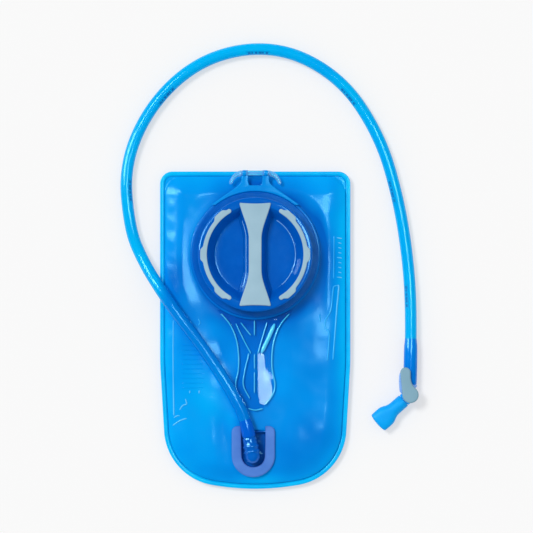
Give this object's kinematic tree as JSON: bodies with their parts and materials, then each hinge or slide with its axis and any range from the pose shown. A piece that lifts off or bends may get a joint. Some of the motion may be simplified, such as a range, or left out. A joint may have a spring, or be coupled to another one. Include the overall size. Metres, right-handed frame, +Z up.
{
  "type": "hydration bladder",
  "caption": "Flexible drinking reservoir with a wide screw-cap fill port, hanger, carry handle, exit port and a free drinking tube ending in a bite valve with a shut-off lever.",
  "frame": {"origin": "on the resting surface, under the middle of the bag with its fill port and hanger, the free tube and its valve left out", "axes": "+Z up from the surface the bag lies on, +Y along the bag to the hanger, +X to the right seen from above"},
  "size_m": [0.2678, 0.4007, 0.0376],
  "materials": {
    "film": "translucent blue welded film",
    "weld": "fused film edge, lighter and glossy",
    "port_blue": "satin moulded mid blue",
    "clear": "clear glossy moulding",
    "collar": "satin moulded blue",
    "cap_blue": "deep blue satin moulding",
    "soft_grip": "matte grey-blue soft-touch overmould",
    "gasket": "pale silicone",
    "saddle": "matte violet-blue",
    "socket": "dark blue glossy moulding",
    "plug": "glossy blue moulding",
    "seal": "black seal rubber",
    "tube": "translucent cyan-blue extruded tube",
    "valve_body": "pale blue moulding",
    "valve_core": "grey-blue moulding",
    "silicone": "bright blue soft silicone"
  },
  "bodies": {
    "bladder": {"back_film": "film", "front_film": "film", "perimeter_weld": "weld", "port_yoke": "port_blue", "hanger_tab": "port_blue", "hanger_bar": "clear", "carry_handle": "clear", "fill_collar": "collar", "exit_port_saddle": "saddle", "exit_port_socket": "socket", "tube_plug": "plug", "plug_seal_rings": "seal", "drinking_tube": "tube", "valve_elbow": "valve_body"},
    "cap_seal": {"cap_gasket": "gasket"},
    "cap": {"cap_body": "cap_blue", "cap_centre_grip": "soft_grip", "cap_side_grip_left": "soft_grip", "cap_side_grip_right": "soft_grip"},
    "lever": {"valve_lever": "soft_grip", "valve_core": "valve_core", "valve_core_rings": "seal"},
    "mouthpiece": {"bite_valve": "silicone"}
  },
  "joints": [
    {"name": "cap_lift", "type": "slide", "parent": "bladder", "child": "cap_seal", "axis": [0, 0, 1], "range_m": [0, 0.00901]},
    {"name": "cap_turn", "type": "hinge", "parent": "cap_seal", "child": "cap", "pos_m": [0, 0.0675, 0], "axis": [0, 0, 1], "range_deg": [0, 135]},
    {"name": "lever_turn", "type": "hinge", "parent": "bladder", "child": "lever", "pos_m": [0.1391, -0.0584, 0.008], "axis": [0, 0, 1], "range_deg": [0, 90]},
    {"name": "bite_valve_turn", "type": "hinge", "parent": "bladder", "child": "mouthpiece", "pos_m": [0.1391, -0.0584, 0.008], "axis": [-0.7511, -0.6601, 0], "continuous": true}
  ],
  "couplings": [
    {"joint": "cap_lift", "follows": "cap_turn", "m_per_rad": 0.0038197}
  ]
}
